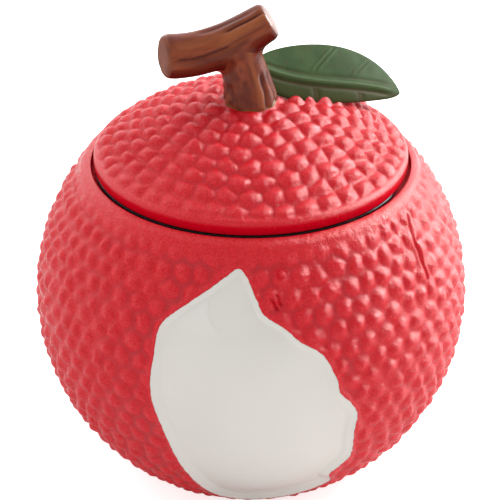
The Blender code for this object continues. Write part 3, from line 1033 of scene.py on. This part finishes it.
def leaf_relief(along, across, off):
    """Height of the midrib and the veins on the leaf's upper side."""
    relief = rib(off, MIDRIB) * (1 - smooth(along, 0.84, 0.98))
    for start, lean in BACK_VEINS:
        reach = smooth(off, 0.002, 0.0036) * (1 - smooth(across, 0.86, 0.99))
        relief += reach * rib((along - start) * LEAF_LENGTH - off * lean, BACK_RIB)
    for start, lean in FRONT_VEINS:
        reach = smooth(-off, 0.0016, 0.0026)
        relief += reach * rib((along - start) * LEAF_LENGTH - off * lean, FRONT_RIB)
    return relief


def leaf(rows=130, columns=170, ahead_by=0.002, aside_by=0.01, last=0.9999):
    along = np.linspace(*LEAF_ENDS, rows)[:, None]
    around = np.linspace(0, 2 * math.pi, columns, endpoint=False)[None, :]
    along, around = np.broadcast_arrays(along, around)
    across = np.cos(around)
    half = np.where(across > 0, 1, -1)
    places, off = leaf_places(along, across)
    ahead, _ = leaf_places(np.minimum(along + ahead_by, last), across)
    aside, _ = leaf_places(along, across - aside_by * half)
    normal = np.cross(ahead - places, (places - aside) * half[..., None])
    normal /= np.linalg.norm(normal, axis=-1, keepdims=True)

    swell = np.sign(np.sin(around)) * np.abs(np.sin(around)) ** LEAF_EDGE_POWER
    thick = LEAF_THICKNESS * (1 - LEAF_THIN * smooth(along, LEAF_THIN_FROM, 1.0))
    thick = thick * np.sqrt(np.minimum(1, (1 - along) * LEAF_TIP_BLUNT))
    relief = np.where(swell > 0, leaf_relief(along, across, off), 0)
    rise = (swell - 1) * thick / 2 + LEAF_LIFT + relief * swell ** 2
    points = (places + normal * rise[..., None]).reshape(-1, 3)
    faces = ring_faces(rows, columns)
    faces += [list(range(columns)), list(range(len(points) - columns, len(points)))]
    obj = mesh_object("leaf_blade", points, faces)
    store(obj, relief=(relief / MM).ravel(), across=across.ravel())
    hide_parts("leaf")
    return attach(obj, "lid")


class Nodes:
    """Short calls for a node tree."""

    def __init__(self, tree):
        self.tree = tree

    def add(self, kind, inputs=None, **settings):
        node = self.tree.nodes.new(kind)
        for name, value in settings.items():
            setattr(node, name, value)
        self.fill(node.inputs, inputs or {})
        return node

    def fill(self, sockets, values):
        for name, value in values.items():
            if isinstance(value, bpy.types.NodeSocket):
                self.tree.links.new(value, sockets[name])
            else:
                sockets[name].default_value = value

    def noise(self, scale, detail=3, vector=None):
        vector = vector or self.add("ShaderNodeTexCoord").outputs["Object"]
        inputs = {"Scale": scale, "Detail": detail, "Vector": vector}
        return self.add("ShaderNodeTexNoise", inputs).outputs["Fac"]

    def read(self, name, output="Fac"):
        return self.add("ShaderNodeAttribute", attribute_name=name).outputs[output]

    def spread(self, value, low, high, out_low=0.0, out_high=1.0):
        """Smooth step from out_low at low to out_high at high."""
        inputs = {"Value": value, "From Min": low, "From Max": high,
                  "To Min": out_low, "To Max": out_high}
        node = self.add("ShaderNodeMapRange", inputs, interpolation_type="SMOOTHSTEP")
        return node.outputs["Result"]

    def seen(self):
        """1 where the camera looks straight at it."""
        return self.add("ShaderNodeLightPath").outputs["Is Camera Ray"]

    def math(self, operation, a, b):
        return self.add("ShaderNodeMath", {0: a, 1: b}, operation=operation).outputs[0]

    def blend(self, factor, a, b, kind="FLOAT"):
        inputs = {"Factor": factor, "A": a, "B": b}
        return self.add("ShaderNodeMix", inputs, data_type=kind).outputs["Result"]

    def mix(self, factor, a, b):
        """Between two colours."""
        a, b = (c if isinstance(c, bpy.types.NodeSocket) else (*c, 1) for c in (a, b))
        return self.blend(factor, a, b, "RGBA")

    def layered(self, colour, *layers):
        """A colour under others, each with the share that it covers."""
        for share, over in layers:
            colour = self.mix(share, colour, over)
        return colour


class Surface(Nodes):
    """A material, as the node tree of its one shader."""

    def __init__(self, name):
        self.material = bpy.data.materials.new(name)
        self.material.use_nodes = True
        super().__init__(self.material.node_tree)
        self.inputs = self.tree.nodes["Principled BSDF"].inputs

    def bump(self, height, distance, strength):
        inputs = {"Height": height, "Distance": distance, "Strength": strength}
        normal = self.add("ShaderNodeBump", inputs).outputs["Normal"]
        self.fill(self.inputs, {"Normal": normal})

    def finish(self, colour, roughness, gloss=0.5):
        values = {"Base Color": colour, "Roughness": roughness, "Specular IOR Level": gloss}
        self.fill(self.inputs, values)
        return self.material


def glazed_ceramic(name, lands):
    """Satin red glaze in two tones between its bumps, white glaze on the flesh, bare clay below, a
    deep red of painted shade in creases, the mouth and the lid's band, and a painted highlight on
    the flake.
    """
    mat = Surface(name)
    ragged = mat.math("MULTIPLY", mat.math("SUBTRACT", mat.noise(700, 2), 0.5), 0.5)
    edge = mat.math("ADD", mat.read("white_depth"), ragged)
    white = mat.spread(edge, -0.06, 0.06)
    bare = mat.read("bare")
    band = mat.read("band")
    top = mat.spread(mat.read("bump"), 0.0, 0.3)
    land = mat.mix(mat.spread(mat.noise(90, 4), 0.35, 0.65), *lands)
    speckle = mat.spread(mat.noise(2600, 2), 0.36, 0.64)
    red = mat.mix(top, land, mat.mix(speckle, (0.64, 0.001, 0.009), (0.76, 0.014, 0.026)))
    # Painted shade: creases, the mouth's wall and the lid's band are painted a deep red with little
    # reflection
    red = mat.mix(band, red, (0.62, 0.0006, 0.012))
    tint = mat.spread(mat.noise(60, 4), 0.3, 0.7)
    flesh = mat.mix(tint, (0.755, 0.725, 0.675), (0.775, 0.745, 0.695))
    # Painted highlight: the flake left of the fold is painted lighter, as if it caught the light
    flesh = mat.mix(mat.read("flake"), flesh, (0.8, 0.775, 0.725))
    clay = mat.mix(mat.noise(400, 6), (0.55, 0.47, 0.38), (0.7, 0.63, 0.54))
    colour = mat.mix(bare, mat.mix(white, red, flesh), clay)

    grain = mat.noise(3600, 3)
    satin = mat.spread(grain, 0.3, 0.7, 0.15, 0.22)
    roughness = mat.blend(bare, mat.blend(white, satin, 0.14), 0.85)
    shine = mat.blend(band, mat.blend(top, 0.2, 0.34), 0.02)
    crinkle = mat.math("ADD", mat.math("MULTIPLY", mat.noise(1000, 3), 1.2), grain)
    stipple = mat.math("MULTIPLY", crinkle, mat.math("SUBTRACT", 1.0, white))
    mat.bump(stipple, 0.0002, 1.0)
    return mat.finish(colour, roughness, mat.blend(white, shine, 0.5))


def black_silicone():
    mat = Surface("black_silicone")
    cloud = mat.noise(500, 3)
    roughness = mat.spread(cloud, 0.3, 0.7, 0.2, 0.32)
    return mat.finish(mat.mix(cloud, (0.008, 0.008, 0.009), (0.016, 0.016, 0.018)), roughness, 0.22)


def bark_glaze():
    """Brown glaze with lighter ridges, partly a painted highlight, dark grooves, an underside with
    painted shade and a painted red reflection, a left end in a brown of its own, a right end made
    pale as a painted reflection, and a pale foot.
    """
    mat = Surface("bark_glaze")
    grain = mat.read("grain", "Vector")
    broad = mat.noise(1.7, 2, grain)
    streak = mat.noise(4.0, 4, grain)
    cloud = mat.noise(260, 3)
    cut = mat.read("cut_end")
    wavy = mat.math("MULTIPLY", mat.noise(500, 2), 1.2)
    low = mat.math("ADD", mat.read("above_lid"), wavy)
    # Pale right cut end: a painted reflection of the window on its glaze, not bare clay
    bare = mat.mix(mat.spread(cloud, 0.3, 0.7), (0.36, 0.23, 0.2), (0.42, 0.29, 0.26))
    colour = mat.layered(
        mat.mix(mat.spread(broad, 0.35, 0.65), (0.15, 0.028, 0.014), (0.275, 0.062, 0.025)),
        (mat.spread(streak, 0.48, 0.68, 0.0, 0.7), (0.095, 0.015, 0.009)),
        (mat.spread(cloud, 0.45, 0.75, 0.0, 0.3), (0.15, 0.042, 0.026)),
        # Ridges: partly the bark's tone, partly a painted highlight where the light falls
        (mat.read("ridge"), mat.mix(streak, (0.22, 0.055, 0.022), (0.4, 0.12, 0.042))),
        (mat.spread(mat.read("groove"), 0.25, 1.0), (0.08, 0.012, 0.008)),
        # Underside: painted shade and a painted red reflection of the lid
        (mat.read("under"), (0.085, 0.004, 0.002)),
        (cut, mat.mix(mat.spread(cloud, 0.35, 0.7), (0.225, 0.062, 0.028), (0.15, 0.038, 0.02))),
        (mat.read("bare_end"), bare),
        (mat.spread(low, 0.9, 0.5), (0.18, 0.11, 0.035)),
        (mat.read("slip"), (0.42, 0.4, 0.29)),
    )
    roughness = mat.blend(cut, mat.spread(streak, 0.3, 0.7, 0.2, 0.3), 0.5)
    mat.bump(streak, 0.00015, 0.5)
    return mat.finish(colour, roughness, mat.blend(cut, 0.17, 0.1))


def leaf_glaze():
    """Satin green glaze, browner in the grooves, with painted shade and a painted red reflection on
    the front half, and a painted highlight on its raised ribs.
    """
    mat = Surface("leaf_glaze")
    relief = mat.read("relief")
    tint = mat.spread(mat.noise(160, 4), 0.35, 0.65)
    colour = mat.layered(
        mat.mix(tint, (0.036, 0.07, 0.023), (0.052, 0.094, 0.032)),
        (mat.spread(mat.noise(420, 3), 0.52, 0.75, 0.0, 0.5), (0.07, 0.062, 0.026)),
        # Front half: painted shade and a painted red reflection of the lid
        (mat.spread(mat.read("across"), 0.0, -0.5, 0.0, 0.75), (0.047, 0.049, 0.014)),
        # Raised ribs: a painted highlight in lighter green
        (mat.spread(relief, 0.05, 0.3, 0.0, 0.7), (0.09, 0.135, 0.06)),
        (mat.spread(relief, 0.0, -0.3), (0.058, 0.046, 0.018)),
    )
    grain = mat.noise(3000, 3)
    mat.bump(grain, 0.0001, 0.4)
    return mat.finish(colour, mat.spread(grain, 0.3, 0.7, 0.4, 0.5), 0.025)


def finish_with(obj, material):
    obj.data.materials.clear()
    obj.data.materials.append(material)


def lamp(name, place, size, power, glint):
    """An area lamp aimed at the jar; a glint only shows as a reflection."""
    data = bpy.data.lights.new(name, "AREA")
    data.shape = "RECTANGLE"
    data.size, data.size_y = size
    data.energy = power
    data.color = (1, 0.99, 0.98)
    obj = placed(name, data)
    obj.location = place
    aim = Vector((0, 0, CENTRE)) - Vector(place)
    obj.rotation_euler = aim.to_track_quat("-Z", "Y").to_euler()
    obj.visible_diffuse = not glint


def backdrop():
    """A wide white floor that the camera sees as nearly white."""
    corners = [(-2, -2, 0), (2, -2, 0), (2, 2, 0), (-2, 2, 0)]
    floor = mesh_object("floor", corners, [[0, 1, 2, 3]])
    nodes = Surface("white_floor")
    level = nodes.math("MULTIPLY", nodes.seen(), STAGE_GLOW)
    nodes.fill(nodes.inputs, {"Emission Color": (1, 1, 1, 1), "Emission Strength": level})
    white = nodes.mix(nodes.noise(30, 2), (0.86, 0.86, 0.86), (0.88, 0.88, 0.88))
    finish_with(floor, nodes.finish(white, 0.6))


def glow(nodes, direction, start, end, low, high):
    """Level of the sky, which changes as it turns toward a direction."""
    ray = nodes.add("ShaderNodeTexCoord").outputs["Generated"]
    inputs = {0: ray, 1: Vector(direction).normalized()}
    facing = nodes.add("ShaderNodeVectorMath", inputs, operation="DOT_PRODUCT")
    return nodes.spread(facing.outputs["Value"], start, end, low, high)


def sky():
    """A pale room that lights the jar, and that the camera sees as white."""
    world = bpy.data.worlds.new("studio")
    scene.world = world
    world.use_nodes = True
    nodes = Nodes(world.node_tree)
    room = nodes.math("MULTIPLY", glow(nodes, *SKY_BACK), glow(nodes, *SKY_TOP))
    level = nodes.math("MAXIMUM", room, nodes.seen())
    background = nodes.tree.nodes["Background"].inputs
    nodes.fill(background, {"Color": (1, 1, 1, 1), "Strength": level})


def camera():
    focal = BALL_PIXELS * math.sqrt((DISTANCE / BODY_RADIUS) ** 2 - 1)
    data = bpy.data.cameras.new("camera")
    data.sensor_width = 36
    data.lens = focal * data.sensor_width / PICTURE
    data.clip_start = 0.01
    lens = placed("camera", data)
    drop = math.atan((BALL_PIXEL[1] - PICTURE / 2) / focal)
    swing = math.atan((BALL_PIXEL[0] - PICTURE / 2) / focal)
    back = Vector((0, -math.cos(ELEVATION), math.sin(ELEVATION)))
    lens.location = Vector((0, 0, CENTRE)) + back * DISTANCE
    lens.rotation_euler = Euler((math.pi / 2 - ELEVATION + drop, 0, swing))
    scene.camera = lens


scene.view_settings.view_transform = "Standard"
camera()
backdrop()
sky()
for row in LAMPS:
    lamp(*row)

finish_with(jar(), glazed_ceramic("jar_glaze", JAR_LANDS))
finish_with(lid(), glazed_ceramic("lid_glaze", LID_LANDS))
finish_with(seal(), black_silicone())
finish_with(twig(), bark_glaze())
finish_with(leaf(), leaf_glaze())
